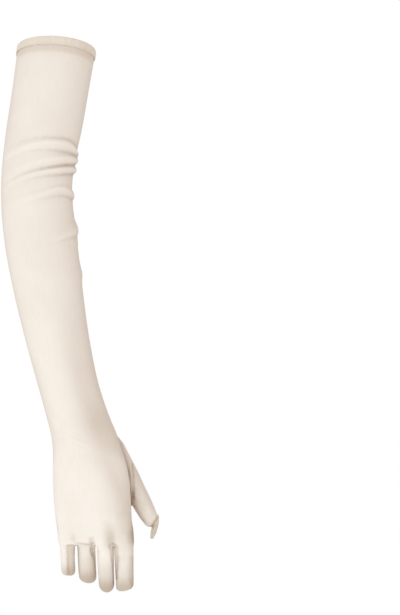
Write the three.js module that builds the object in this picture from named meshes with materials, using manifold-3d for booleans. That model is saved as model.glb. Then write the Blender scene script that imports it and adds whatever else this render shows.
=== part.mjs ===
// An opera-length mesh glove for a right hand, holding the form of the arm that wears it.
// A back panel and a palm panel run from the hem to the fingertips and meet at two side seams, each in
// three lengths: the upper sleeve, the forearm and the hand. Three fourchettes join them between the
// fingers, a thumb is set into a hole in the palm, and a folded hem binds the open top. Every piece is
// a hollow wall of cloth.
// Millimetres, +Z up. The glove hangs fingers down with the back of the hand towards -Y, and the
// origin is the centre of the arm opening.
import * as THREE from "three";
import { mergeVertices } from "three/addons/utils/BufferGeometryUtils.js";
import Module from "manifold-3d";

const wasm = await Module();
wasm.setup();

// Cloth and seams.
const WALL = 1.2;
const SEAM_GAP = 0.3;
const HEM_DEPTH = 9; // outer leg of the folded hem
const HEM_TURN_IN = 17; // inner leg, the allowance turned to the inside
const HEM_WALL = 1.1;
const HEM_CLEARANCE = 0.3;
// The hem's rounded fold: how far below the opening's plane its crown, shoulders and sides are, and how
// broad a shoulder is. The sides are level with the floor of the channel that the sleeve sits in.
const HEM_FOLD = { crown: -0.2, shoulder: 0.2, side: 1.6, broad: 1.1 };
const HEM_EDGE = { broad: 0.3, deep: 1 }; // the chamfer along the outer leg's lower edge
const SLEEVE_TOP = -HEM_FOLD.side - HEM_CLEARANCE; // the sleeve's raw edge, under the fold of the hem

// Facets.
const ARM_SIDES = 24;
const FINGER_SIDES = 12;

// The plane of the arm opening: how far it rises for each millimetre along X and along Y.
const OPENING_RISE = { x: -0.06, y: -0.245 };

// The outline of the arm and the palm at each level: its left and right edges seen from the front, its
// front and rear edges seen from the side, and the squareness of the section (2 is an ellipse).
const ARM_SECTIONS = [
  { z: 24, left: -39.3, right: 43.9, front: -38.5, rear: 46.5, power: 2.0 },
  { z: 0, left: -41.4, right: 40.7, front: -42.0, rear: 42.0, power: 2.0 },
  { z: -40, left: -46.0, right: 34.2, front: -48.0, rear: 34.5, power: 2.0 },
  { z: -90, left: -52.7, right: 25.8, front: -56.0, rear: 24.5, power: 2.0 },
  { z: -115, left: -55.3, right: 20.4, front: -59.0, rear: 19.5, power: 2.05 },
  { z: -141, left: -56.9, right: 17.2, front: -62.0, rear: 14.0, power: 2.05 },
  { z: -166, left: -56.4, right: 18.2, front: -66.5, rear: 9.5, power: 2.05 },
  { z: -208, left: -51.9, right: 23.4, front: -75.0, rear: 1.5, power: 2.05 },
  { z: -257, left: -41.9, right: 29.4, front: -83.5, rear: -10.5, power: 2.1 },
  { z: -307, left: -29.1, right: 36.8, front: -89.5, rear: -24.5, power: 2.1 },
  { z: -356, left: -14.9, right: 47.8, front: -94.0, rear: -40.5, power: 2.2 },
  { z: -387, left: -6.0, right: 59.0, front: -97.5, rear: -50.5, power: 2.3 },
  { z: -401, left: -2.3, right: 65.0, front: -98.5, rear: -54.0, power: 2.35 },
  { z: -417, left: -0.4, right: 70.2, front: -99.0, rear: -55.5, power: 2.4 },
  { z: -433, left: -0.2, right: 75.0, front: -99.0, rear: -57.5, power: 2.45 },
  { z: -450, left: -0.1, right: 77.6, front: -98.2, rear: -59.5, power: 2.5 },
  { z: -468, left: 0.7, right: 79.1, front: -96.6, rear: -61.0, power: 2.55 },
  { z: -485, left: 2.3, right: 80.2, front: -94.8, rear: -62.0, power: 2.55 },
  { z: -498, left: 4.0, right: 80.5, front: -92.2, rear: -63.5, power: 2.5 },
  { z: -508, left: 5.2, right: 80.6, front: -89.5, rear: -66.0, power: 2.5 },
  { z: -513.5, left: 6.6, right: 80.4, front: -86.0, rear: -70.5, power: 2.5 },
];

// Creases and crests of the cloth gathered in the crook of the elbow, from the top down. Each row is a
// line round the arm: its height at the crook, halfway from there to the front, at the front, the rear
// and the outer side of the arm, how far the cloth stands out there, how far it stands out at the crook
// itself, and how fast both fade towards the outer side.
const ELBOW_FOLDS = [
  { crook: -105, inner: -95.5, front: -95, rear: -97, outer: -108, lift: 0, edge: 0.2, fade: 0.5 },
  { crook: -111.5, inner: -102.3, front: -101.9, rear: -104, outer: -119, lift: 2.6, edge: 2.4, fade: 0.5 },
  { crook: -115, inner: -110.9, front: -109.5, rear: -110, outer: -122, lift: -0.9, edge: 1.9, fade: 0.6 },
  { crook: -118.5, inner: -117.2, front: -121.7, rear: -118, outer: -142, lift: 2.2, edge: 3.3, fade: 0.7 },
  { crook: -122.9, inner: -124.6, front: -129.4, rear: -126, outer: -148, lift: -1, edge: 0.6, fade: 0.8 },
  { crook: -128.5, inner: -128.2, front: -132.8, rear: -130, outer: -152, lift: 2.2, edge: 3.2, fade: 0.9 },
  { crook: -132.8, inner: -134.7, front: -138.6, rear: -135.5, outer: -157, lift: -1, edge: 0.1, fade: 1 },
  { crook: -140, inner: -142, front: -146.5, rear: -143, outer: -162, lift: 0, edge: 0, fade: 1.2 },
  { crook: -149.6, inner: -144, front: -150.5, rear: -147, outer: -166, lift: 0, edge: -0.2, fade: 1.3 },
  { crook: -154.8, inner: -148.4, front: -156.7, rear: -152, outer: -170, lift: 2.3, edge: 2.1, fade: 1.3 },
  { crook: -160.5, inner: -155.8, front: -161.6, rear: -157, outer: -175, lift: -0.9, edge: -0.2, fade: 1.4 },
  { crook: -167, inner: -163, front: -168, rear: -164, outer: -182, lift: 0, edge: -0.2, fade: 1.5 },
  { crook: -178, inner: -189, front: -198, rear: -190, outer: -205, lift: 0, edge: 0.3, fade: 2.5 },
  { crook: -190.3, inner: -198.6, front: -206.5, rear: -198, outer: -212, lift: 2.3, edge: 2.9, fade: 3 },
  { crook: -197, inner: -202.4, front: -210.5, rear: -203, outer: -217, lift: -0.9, edge: 0.9, fade: 3 },
  { crook: -207, inner: -210, front: -218, rear: -210, outer: -225, lift: 0, edge: 0.5, fade: 3 },
];
const CROOK_POWER = 8; // how closely the lift at the crook keeps to it

// Where the form swells or hollows: the pads of the thumb and of the little finger's side, and the
// hollow of the palm. The angle is from +X towards the palm side.
const SWELLINGS = [
  { angle: 48, z: -452, lift: 3.2, spreadAngle: 30, spreadZ: 24 },
  { angle: 128, z: -458, lift: 1.8, spreadAngle: 26, spreadZ: 28 },
  { angle: 92, z: -480, lift: -2, spreadAngle: 24, spreadZ: 18 },
];

// Levels of the plain rings of the arm below the elbow, and of the rings above it as shares of the way
// from the opening down to the first fold.
const UPPER_SHARES = [0, 0.2, 0.48, 0.76];
const LOWER_LEVELS = [
  -230, -262, -294, -326, -357, -388, -403, -418, -434, -450, -466, -482, -495, -504, -510, -513.5,
];

// The panels of the back and the palm are each in three lengths, from the top down, with a gap between
// them. The levels where they part are among those above.
const LENGTHS = [
  { name: "upper_sleeve", top: null, end: -230 },
  { name: "forearm", top: -230, end: -388 },
  { name: "hand", top: -388, end: null },
];

// Each finger from its knuckle: where the knuckle is, where the tip is across the hand, the three bone
// lengths, the slope of each bone towards the palm in degrees, the half width and half depth at the
// base and near the tip, how long the rounded end is, and how square it is (2 is an ellipse).
const FINGERS = {
  index: {
    knuckle: [71.8, -84.4, -488.6],
    tipX: 72.7,
    bones: [39.5, 23.5, 22.5],
    slopes: [12, 35, 48],
    wide: [10.4, 9.1],
    deep: [9.4, 7.6],
    end: 6.5,
    square: 3.2,
  },
  middle: {
    knuckle: [52.3, -85, -486.6],
    tipX: 53.6,
    bones: [43, 27, 24.3],
    slopes: [12, 37, 51],
    wide: [9.0, 8.3],
    deep: [9.4, 7.6],
    end: 11.5,
    square: 2.1,
  },
  ring: {
    knuckle: [33.0, -84.2, -490],
    tipX: 33.8,
    bones: [40, 25, 21.5],
    slopes: [31, 42, 54],
    wide: [9.2, 9.2],
    deep: [9.2, 7.6],
    end: 9,
    square: 2.2,
  },
  little: {
    knuckle: [15.2, -82.6, -496],
    tipX: 14.1,
    bones: [31, 18, 17.5],
    slopes: [23, 46, 59],
    wide: [7.8, 7.2],
    deep: [8.2, 6.6],
    end: 7,
    square: 2.6,
  },
};
const TIP_BACK = 2.3; // how far short of the last bone's end the cloth ends

// Rings along a finger, as shares of the way to its rounded end, and the share of its width and depth
// there. Then rings round the end, as shares of the end's own length.
const FINGER_RINGS = [
  { at: 0, wide: 0.55, deep: 0.62 },
  { at: 0.13, wide: 0.88, deep: 0.92 },
  { at: 0.27, wide: 1, deep: 1 },
  { at: 0.45, wide: 1, deep: 1 },
  { at: 0.62, wide: 1, deep: 1 },
  { at: 0.8, wide: 1, deep: 1 },
];
const END_RINGS = [0, 0.5, 0.82, 0.97];
const FINGER_POWER = 2.3;

// The thumb from inside the wrist to the tip, and the empty flat end of the cloth beyond the tip: the
// middle of each section, and its half width and half depth.
const THUMB_SECTIONS = [
  { x: 44, y: -75, z: -394, wide: 8.5, deep: 8.5 },
  { x: 53, y: -70.5, z: -405, wide: 11, deep: 10.5 },
  { x: 61, y: -66.5, z: -417.5, wide: 12.5, deep: 12 },
  { x: 69, y: -63, z: -431, wide: 12.4, deep: 12.2 },
  { x: 77.2, y: -60, z: -445.4, wide: 11.4, deep: 11.6 },
  { x: 84.8, y: -57, z: -460.5, wide: 10.4, deep: 10.6 },
  { x: 90.4, y: -55, z: -473, wide: 10, deep: 9.6 },
  { x: 95.8, y: -53.5, z: -483.5, wide: 9.2, deep: 8.3 },
  { x: 100, y: -52.5, z: -491.5, wide: 7.5, deep: 6.2 },
  { x: 102.4, y: -52, z: -496, wide: 4.8, deep: 3.4 },
  { x: 102.8, y: -51.6, z: -499.2, wide: 3.6, deep: 1.7 },
  { x: 102.2, y: -51.2, z: -503.5, wide: 3.6, deep: 1.3 },
  { x: 101, y: -50.7, z: -508, wide: 3, deep: 1.2 },
  { x: 100.2, y: -50.4, z: -511, wide: 1.7, deep: 1 },
];
const THUMB_POWER = 2;
const THUMB_HOLLOW_SECTIONS = 9; // the flat end beyond these is closed

// The fourchettes: the strips of cloth between the fingers, which pass round the web. A strip may be
// turned further to the front on the finger to its left. The rows give its half depth at each level and
// the share of that turn.
const FOURCHETTES = [
  { name: "fourchette_index_middle", left: "middle", right: "index", turn: 1 },
  { name: "fourchette_middle_ring", left: "ring", right: "middle", turn: 2.6 },
  { name: "fourchette_ring_little", left: "little", right: "ring", turn: 5.5 },
];
const FOURCHETTE_ROWS = [
  { z: -504.5, half: 4.6, turned: 0 },
  { z: -512.5, half: 5, turned: 0 },
  { z: -514, half: 5.1, turned: 1 },
  { z: -519, half: 5.2, turned: 1 },
  { z: -526, half: 5.2, turned: 1 },
  { z: -534, half: 5.3, turned: 1 },
  { z: -541, half: 5.2, turned: 1 },
  { z: -547, half: 4.9, turned: 0 },
  { z: -552, half: 4.6, turned: 0 },
  { z: -562, half: 3.4, turned: 0 },
  { z: -580, half: 2.4, turned: 0 },
];
const WEB_LEVEL = { above: 509, below: 528 }; // depths between which the strip turns into two sides
const WEB_REACH = 0.25; // share of a finger's half width that the strip lies level with at the web
const SEAM_LEVELS = [
  60, -60, -115, -166, -230, -307, -356, -401, -450, -480, -492, -504, -513, -519, -526, -534, -543,
  -552, -562, -580,
];
const SEAM_TURN = { above: 480, below: 504 }; // depths between which the seam turns from arm to fingers

// Cutting shapes: how far off their far sides are, and how far a hollow runs on above the opening.
const FAR = 260;
const PAST_OPENING = 5;

const SAME_POINT = 1e-5;
const OPENING_PASSES = 4;
const HALVINGS = 20;

const COLOURS = {
  panel: 0xe9dccd,
  fourchette: 0xdcc9b4,
  hem: 0xddc6b0,
};

const { cos, sin, exp, sign, abs, floor, PI, max, min } = Math;
const radians = THREE.MathUtils.degToRad;
const lerp = THREE.MathUtils.lerp;

// The value of every column of a table at a level, on a smooth curve through its rows. The rows run
// from high to low z.
function sectionAt(rows, z) {
  const last = rows.length - 2;
  let i = 0;
  while (i < last && z < rows[i + 1].z) i += 1;
  const [a, b] = [rows[i], rows[i + 1]];
  const [before, after] = [rows[max(i - 1, 0)], rows[min(i + 2, last + 1)]];
  const span = b.z - a.z;
  const t = THREE.MathUtils.clamp((z - a.z) / span, 0, 1);
  const row = {};
  for (const key of Object.keys(a)) {
    const slopeA = ((b[key] - before[key]) / (b.z - before.z)) * span;
    const slopeB = ((after[key] - a[key]) / (after.z - a.z)) * span;
    const rise = b[key] - a[key];
    const cubic = slopeA + slopeB - 2 * rise;
    row[key] = a[key] + t * (slopeA + t * (3 * rise - 2 * slopeA - slopeB + t * cubic));
  }
  return row;
}

// A point of a rounded section at an angle from +X, with its half width and half depth.
function roundedPoint(angle, wide, deep, power) {
  const [c, s] = [cos(angle), sin(angle)];
  return [
    wide * sign(c) * abs(c) ** (2 / power),
    deep * sign(s) * abs(s) ** (2 / power),
  ];
}

// The height of a fold line at an angle round the arm, on a smooth curve through eight heights. The
// crook is at +X and the front at -Y.
function foldHeight({ crook, inner, front, rear, outer }, angle) {
  const heights = [
    crook,
    rear + inner - front,
    rear,
    (rear + outer) / 2,
    outer,
    (front + outer) / 2,
    front,
    inner,
  ];
  const count = heights.length;
  const place = (angle / (2 * PI)) * count;
  const start = floor(place);
  const [a, b, c, d] = [-1, 0, 1, 2].map((step) => heights[(start + step + count) % count]);
  const t = place - start;
  return b + 0.5 * t * (c - a + t * (2 * a - 5 * b + 4 * c - d + t * (3 * b - a - 3 * c + d)));
}

function foldLift(fold, angle) {
  const lift = lerp(fold.lift, fold.edge, max(cos(angle), 0) ** CROOK_POWER);
  return lift * abs(cos(angle / 2)) ** (2 * fold.fade);
}

function swellingAt(angle, z) {
  return SWELLINGS.reduce((sum, row) => {
    const turn = (angle - radians(row.angle)) / radians(row.spreadAngle);
    const along = (z - row.z) / row.spreadZ;
    return sum + row.lift * exp(-turn * turn - along * along);
  }, 0);
}

// A point of the arm's surface, moved in by inset. Lift moves it out where the cloth is folded.
function armPoint(angle, z, inset, lift = 0) {
  const section = sectionAt(ARM_SECTIONS, z);
  const grow = lift + swellingAt(angle, z) - inset;
  const wide = (section.right - section.left) / 2 + grow;
  const deep = (section.rear - section.front) / 2 + grow;
  const [x, y] = roundedPoint(angle, wide, deep, section.power);
  return new THREE.Vector3(
    (section.left + section.right) / 2 + x,
    (section.front + section.rear) / 2 + y,
    z,
  );
}

// A point of the arm's surface, moved in by inset, that lies offset above the arm opening's plane.
function openingPoint(angle, offset, inset) {
  let p = armPoint(angle, offset, inset);
  for (let pass = 0; pass < OPENING_PASSES; pass += 1) {
    p = armPoint(angle, offset + OPENING_RISE.x * p.x + OPENING_RISE.y * p.y, inset);
  }
  return p;
}

// Angles round a section. They start half a facet past +X, so that a side seam crosses a facet.
function anglesOf(sides) {
  return Array.from({ length: sides }, (_, i) => (2 * PI * (i + 0.5)) / sides);
}

// The rings of the arm and palm, from the opening down. Raised lengthens the top past the opening.
function armRings(inset, raised) {
  const angles = anglesOf(ARM_SIDES);
  const top = angles.map((angle) => openingPoint(angle, raised, inset).z);
  const upper = UPPER_SHARES.map((share) =>
    angles.map((angle, i) => {
      const z = lerp(top[i], foldHeight(ELBOW_FOLDS[0], angle), share);
      return armPoint(angle, z, inset);
    }),
  );
  const folds = ELBOW_FOLDS.map((fold) =>
    angles.map((angle) => armPoint(angle, foldHeight(fold, angle), inset, foldLift(fold, angle))),
  );
  const parted = LENGTHS.map((length) => length.top);
  const levels = LOWER_LEVELS.flatMap((z) => (parted.includes(z) ? besideGap(z) : [z]));
  const lower = levels.map((z, i) => {
    const end = i === levels.length - 1 ? inset : 0;
    return angles.map((angle) => armPoint(angle, z + end, inset));
  });
  return [...upper, ...folds, ...lower];
}

// The levels just above and just below the gap between two lengths of a panel.
function besideGap(z) {
  return [z + SEAM_GAP / 2, z - SEAM_GAP / 2];
}

// The middle line of a finger, from its knuckle to its tip.
function fingerCurve({ knuckle, tipX, bones, slopes }) {
  const points = [new THREE.Vector3(...knuckle)];
  const drop = bones.reduce((sum, bone, i) => sum + bone * cos(radians(slopes[i])), 0);
  bones.forEach((bone, i) => {
    const slope = radians(slopes[i]);
    const fall = bone * cos(slope);
    const before = points[i];
    points.push(
      new THREE.Vector3(
        before.x + ((tipX - knuckle[0]) * fall) / drop,
        before.y + bone * sin(slope),
        before.z - fall,
      ),
    );
  });
  return new THREE.CatmullRomCurve3(points, false, "centripetal");
}

// A ring square to a curve: across it lies along the glove's width, and the other way along its depth.
function ringRoundCurve(centre, tangent, wide, deep, power, sides) {
  const across = new THREE.Vector3(1, 0, 0);
  across.addScaledVector(tangent, -across.dot(tangent)).normalize();
  const depth = new THREE.Vector3().crossVectors(across, tangent);
  return anglesOf(sides).map((angle) => {
    const [u, v] = roundedPoint(angle, wide, deep, power);
    return centre.clone().addScaledVector(across, u).addScaledVector(depth, v);
  });
}

// The rings of a finger, moved in by inset. Its rounded end shrinks along a superellipse.
function fingerRings(finger, inset) {
  const curve = fingerCurve(finger);
  const length = curve.getLength();
  const body = (length - TIP_BACK - finger.end) / length;
  const end = (finger.end - inset) / length;
  const round = END_RINGS.map((share) => {
    const shrink = (1 - share ** finger.square) ** (1 / finger.square);
    return { at: body + end * share, wide: shrink, deep: shrink };
  });
  const straight = FINGER_RINGS.map((row) => ({ ...row, at: row.at * body }));
  return [...straight, ...round].map((row, i) => {
    const wide = lerp(finger.wide[0], finger.wide[1], row.at);
    const deep = lerp(finger.deep[0], finger.deep[1], row.at);
    const [centre, tangent] = [curve.getPointAt(row.at), curve.getTangentAt(row.at)];
    const inEnd = i >= straight.length;
    const [u, v] = [wide, deep].map((half, axis) => {
      const share = axis === 0 ? row.wide : row.deep;
      return inEnd ? (half - inset) * share : half * share - inset;
    });
    return ringRoundCurve(centre, tangent, u, v, FINGER_POWER, FINGER_SIDES);
  });
}

function thumbRings(inset, sections) {
  const curve = new THREE.CatmullRomCurve3(
    sections.map((row) => new THREE.Vector3(row.x, row.y, row.z)),
    false,
    "centripetal",
  );
  return sections.map((row, i) => {
    const tangent = curve.getTangent(i / (sections.length - 1));
    const [wide, deep] = [row.wide - inset, row.deep - inset];
    return ringRoundCurve(curve.points[i], tangent, wide, deep, THUMB_POWER, FINGER_SIDES);
  });
}

// A closed surface through rings of points with the same number of points each. Where the rings are a
// loop the last joins the first, and otherwise both ends are capped.
function skin(rings, loop = false) {
  const sides = rings[0].length;
  const points = rings.flat();
  const faces = [];
  const spans = loop ? rings.length : rings.length - 1;
  for (let r = 0; r < spans; r += 1) {
    const [upper, lower] = [r * sides, ((r + 1) % rings.length) * sides];
    for (let i = 0; i < sides; i += 1) {
      const j = (i + 1) % sides;
      faces.push(upper + i, lower + i, lower + j, upper + i, lower + j, upper + j);
    }
  }
  if (!loop) {
    for (const [ring, flip] of [[rings[0], false], [rings.at(-1), true]]) {
      const centre = ring.reduce((sum, p) => sum.add(p), new THREE.Vector3()).divideScalar(sides);
      const start = flip ? (rings.length - 1) * sides : 0;
      const hub = points.push(centre) - 1;
      for (let i = 0; i < sides; i += 1) {
        const [a, b] = [start + i, start + ((i + 1) % sides)];
        faces.push(hub, flip ? b : a, flip ? a : b);
      }
    }
  }
  return new THREE.BufferGeometry().setFromPoints(points).setIndex(faces);
}

// A closed mesh as a solid for cutting and joining, turned to face out.
function solidOf(geometry) {
  const merged = mergeVertices(geometry, SAME_POINT);
  const vertProperties = merged.attributes.position.array;
  const triVerts = new Uint32Array(merged.index.array);
  const made = new wasm.Manifold(new wasm.Mesh({ numProp: 3, vertProperties, triVerts }));
  if (made.volume() > 0) return made;
  for (let i = 0; i < triVerts.length; i += 3) {
    [triVerts[i], triVerts[i + 1]] = [triVerts[i + 1], triVerts[i]];
  }
  return new wasm.Manifold(new wasm.Mesh({ numProp: 3, vertProperties, triVerts }));
}

function geometryOf(solid) {
  const { vertProperties, triVerts, numProp } = solid.getMesh();
  const geometry = new THREE.BufferGeometry();
  const position = new THREE.BufferAttribute(new Float32Array(vertProperties), numProp);
  geometry.setAttribute("position", position);
  geometry.setIndex(new THREE.BufferAttribute(new Uint32Array(triVerts), 1));
  return geometry;
}

// The largest body of a solid, without the crumbs that a cut leaves behind.
function largest(solid) {
  return solid.decompose().reduce((best, body) => (body.volume() > best.volume() ? body : best));
}

// Where a finger's middle line crosses a level, running on straight above its knuckle and past its tip.
function fingerAt(finger, z) {
  const curve = fingerCurve(finger);
  const end = z > curve.points[0].z ? 0 : 1;
  if (z < curve.points[0].z && z > curve.points.at(-1).z) {
    let [low, high] = [0, 1];
    for (let pass = 0; pass < HALVINGS; pass += 1) {
      const middle = (low + high) / 2;
      if (curve.getPoint(middle).z > z) low = middle;
      else high = middle;
    }
    return curve.getPoint(low);
  }
  const [point, tangent] = [curve.getPoint(end), curve.getTangent(end)];
  return point.addScaledVector(tangent, (z - point.z) / tangent.z);
}

// The line across two neighbouring fingers at a level. It is level with the middle of each finger as
// far as that finger's side, and steps across in the gap between them.
function lineAcross(left, right, z) {
  const turn = THREE.MathUtils.smoothstep(-z, WEB_LEVEL.above, WEB_LEVEL.below);
  const reach = lerp(WEB_REACH, 1, turn);
  const [a, b] = [fingerAt(left, z), fingerAt(right, z)];
  return [
    { x: a.x, y: a.y },
    { x: a.x + left.wide[0] * reach, y: a.y },
    { x: b.x - right.wide[0] * reach, y: b.y },
    { x: b.x, y: b.y },
  ];
}

// The line across the glove that the side seams and the middles of the fingers lie on, at a level.
function seamLine(z) {
  const arm = sectionAt(ARM_SECTIONS, z);
  const share = THREE.MathUtils.smoothstep(-z, SEAM_TURN.above, SEAM_TURN.below);
  const level = min(z, -SEAM_TURN.above);
  const line = [...FOURCHETTES].reverse().flatMap(({ left, right }, i) =>
    lineAcross(FINGERS[left], FINGERS[right], level).slice(i === 0 ? 0 : 1),
  );
  const across = line.map(({ x, y }) => ({ x, y: lerp((arm.front + arm.rear) / 2, y, share) }));
  return [{ x: -FAR, y: across[0].y }, ...across, { x: FAR, y: across.at(-1).y }];
}

// Everything on one side of the seam surface: side is -1 towards the back of the hand, 1 the palm.
function halfSpace(side, gap) {
  const rings = SEAM_LEVELS.map((z) => {
    const line = seamLine(z).map(({ x, y }) => new THREE.Vector3(x, y + (side * gap) / 2, z));
    const far = [FAR, -FAR].map((x) => new THREE.Vector3(x, side * FAR, z));
    return [...line, ...far];
  });
  return solidOf(skin(rings));
}

// Everything between the top and the end of a length.
function lengthBlock({ top, end }) {
  const high = top === null ? FAR : besideGap(top)[1];
  const low = end === null ? -3 * FAR : besideGap(end)[0];
  const corners = [[-FAR, -FAR], [FAR, -FAR], [FAR, FAR], [-FAR, FAR]];
  return solidOf(skin([high, low].map((z) => corners.map(([x, y]) => new THREE.Vector3(x, y, z)))));
}

// The block between the middle lines of two fingers that a fourchette is cut with, wider all round by
// half the gap.
function fourchetteBlock({ left, right, turn }, gap) {
  const rings = FOURCHETTE_ROWS.map(({ z, half, turned }, i) => {
    const level = i === 0 ? z + gap / 2 : z;
    const depth = half + gap / 2;
    const line = lineAcross(FINGERS[left], FINGERS[right], z);
    const ahead = line.map((_, place) => depth + (place < line.length / 2 ? turn * turned : 0));
    return [
      ...line.map(({ x, y }, place) => new THREE.Vector3(x, y - ahead[place], level)),
      ...line.reverse().map(({ x, y }) => new THREE.Vector3(x, y + depth, level)),
    ];
  });
  return solidOf(skin(rings));
}

// The folded hem: one ring for each side, a channel that the sleeve's top edge sits in.
function hemRings() {
  const clear = HEM_CLEARANCE;
  const outer = clear + HEM_WALL;
  const inner = WALL + clear + HEM_WALL;
  const { crown, shoulder, side, broad } = HEM_FOLD;
  const profile = [
    { out: clear, down: HEM_DEPTH },
    { out: outer - HEM_EDGE.broad, down: HEM_DEPTH },
    { out: outer, down: HEM_DEPTH - HEM_EDGE.deep },
    { out: outer, down: side },
    { out: outer - broad, down: shoulder },
    { out: -WALL / 2, down: crown },
    { out: broad - inner, down: shoulder },
    { out: -inner, down: side },
    { out: -inner, down: HEM_TURN_IN },
    { out: -WALL - clear, down: HEM_TURN_IN },
    { out: -WALL - clear, down: side },
    { out: clear, down: side },
  ];
  return anglesOf(ARM_SIDES).map((angle) =>
    profile.map(({ out, down }) => openingPoint(angle, -down, -out)),
  );
}

const materials = {
  panel: new THREE.MeshStandardMaterial({ color: COLOURS.panel, roughness: 0.85, metalness: 0 }),
  fourchette: new THREE.MeshStandardMaterial({
    color: COLOURS.fourchette,
    roughness: 0.85,
    metalness: 0,
  }),
  hem: new THREE.MeshStandardMaterial({ color: COLOURS.hem, roughness: 0.8, metalness: 0 }),
};

const glove = new THREE.Group();

function addPiece(name, solid, material) {
  const mesh = new THREE.Mesh(geometryOf(largest(solid)), material);
  mesh.name = name;
  glove.add(mesh);
}

// The shell of the arm, palm and fingers, before it is cut into panels.
const fingers = Object.values(FINGERS);
const outside = fingers.reduce(
  (form, finger) => form.add(solidOf(skin(fingerRings(finger, 0)))),
  solidOf(skin(armRings(0, SLEEVE_TOP))),
);
const hollow = fingers.reduce(
  (form, finger) => form.add(solidOf(skin(fingerRings(finger, WALL)))),
  solidOf(skin(armRings(WALL, PAST_OPENING))),
);
const thumbHole = solidOf(skin(thumbRings(-SEAM_GAP, THUMB_SECTIONS)));
const shell = outside.subtract(hollow).subtract(thumbHole);

// The panels and fourchettes.
const cutOut = FOURCHETTES.reduce(
  (rest, row) => rest.subtract(fourchetteBlock(row, SEAM_GAP)),
  shell,
);
const [back, palm] = [-1, 1].map((side) => cutOut.intersect(halfSpace(side, SEAM_GAP)));
for (const length of LENGTHS) {
  const block = lengthBlock(length);
  addPiece(`${length.name}_back`, back.intersect(block), materials.panel);
  addPiece(`${length.name}_palm`, palm.intersect(block), materials.panel);
}
for (const row of FOURCHETTES) {
  addPiece(row.name, shell.intersect(fourchetteBlock(row, -SEAM_GAP)), materials.fourchette);
}

// The thumb, open into the palm.
const thumbHollow = THUMB_SECTIONS.slice(0, THUMB_HOLLOW_SECTIONS);
const palmSpace = solidOf(skin(armRings(-SEAM_GAP, PAST_OPENING)));
const thumb = solidOf(skin(thumbRings(0, THUMB_SECTIONS)))
  .subtract(solidOf(skin(thumbRings(WALL, thumbHollow))))
  .subtract(palmSpace);
addPiece("thumb", thumb, materials.panel);

addPiece("hem", solidOf(skin(hemRings(), true)), materials.hem);

export default glove;
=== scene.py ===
"""An opera-length mesh glove for a right hand, as worn on a slightly bent arm.

The form is one smooth surface worked out from the sizes below, in millimetres: an arm and palm, four
fingers and a thumb, with the folds in the crook of the elbow. It is cut along the glove's seams into
panels, each is given the thickness of the cloth, and each stands for its plain solid.
"""
import math
from functools import partial

import bpy
import numpy as np
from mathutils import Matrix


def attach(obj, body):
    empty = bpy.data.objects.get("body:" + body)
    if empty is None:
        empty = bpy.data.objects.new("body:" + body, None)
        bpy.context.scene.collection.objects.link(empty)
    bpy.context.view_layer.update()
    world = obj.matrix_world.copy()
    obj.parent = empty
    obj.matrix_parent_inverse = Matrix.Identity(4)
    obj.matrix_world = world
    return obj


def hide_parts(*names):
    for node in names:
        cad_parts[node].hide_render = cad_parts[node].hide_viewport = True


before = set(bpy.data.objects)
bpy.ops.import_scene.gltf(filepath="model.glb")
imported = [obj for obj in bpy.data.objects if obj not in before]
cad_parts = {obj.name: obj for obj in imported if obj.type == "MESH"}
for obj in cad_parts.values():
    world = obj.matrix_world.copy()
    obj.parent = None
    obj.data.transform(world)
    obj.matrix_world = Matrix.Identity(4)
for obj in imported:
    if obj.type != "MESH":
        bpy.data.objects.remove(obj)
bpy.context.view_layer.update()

MM = 0.001

# The cloth
CLOTH = 0.75
SEAM_GAP = 0.03
SEAM_SINK = 0.55  # how far the cloth is drawn in at a seam
SEAM_REACH = 1.5  # and how far from the seam
SEAM_PUCKER = (0.4, 3.4)  # the share that this varies by, and over what length

# The plane of the arm opening: how far it rises for each millimetre along X and along Y
OPENING_RISE = (-0.06, -0.245)
HEM_DEPTH = 9.0
HEM_TURN_IN = 17.0

# The section of the folded hem, as distance out from the sleeve and down from the fold
HEM_SECTION = [
    (0.25, HEM_DEPTH - 0.5), (0.5, HEM_DEPTH), (0.75, HEM_DEPTH - 0.5), (0.85, HEM_DEPTH - 1.4),
    (0.95, HEM_DEPTH * 0.5), (0.8, 1.5), (0.3, 0.35), (-0.4, -0.2), (-1.1, -0.2), (-1.7, 0.35),
    (-2.15, 1.5), (-2.2, 4.0), (-2.0, HEM_DEPTH - 0.8), (-2.15, HEM_DEPTH + 1.2),
    (-2.1, HEM_TURN_IN - 1), (-1.8, HEM_TURN_IN), (-1.35, HEM_TURN_IN - 0.6),
    (-1.25, HEM_TURN_IN - 3), (-1.15, 3.2), (-0.5, 1.7), (0.1, 3.2),
]
HEM_SIDES = 300
HEM_PUCKER = [(0.16, 31, 0.0), (0.1, 47, 1.3), (0.12, 13, 0.4)]  # waves: height, number round, start
OPENING_RADIUS = 41
PANEL_TOP = 2.2  # how far below the opening the panels end, inside the fold

# The stitches of the hem: how many, how far below the fold and out from the sleeve, and their size
STITCH_COUNT = 104
STITCH_DOWN = HEM_DEPTH - 1.4
STITCH_OUT = 0.92
STITCH_LENGTH = 1.9
STITCH_RADIUS = 0.17
STITCH_SECTION = ((-0.5, 0.0), (-0.36, 0.8), (0, 1), (0.36, 0.8), (0.5, 0.0))  # place and swelling
STITCH_SIDES = 6

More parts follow.
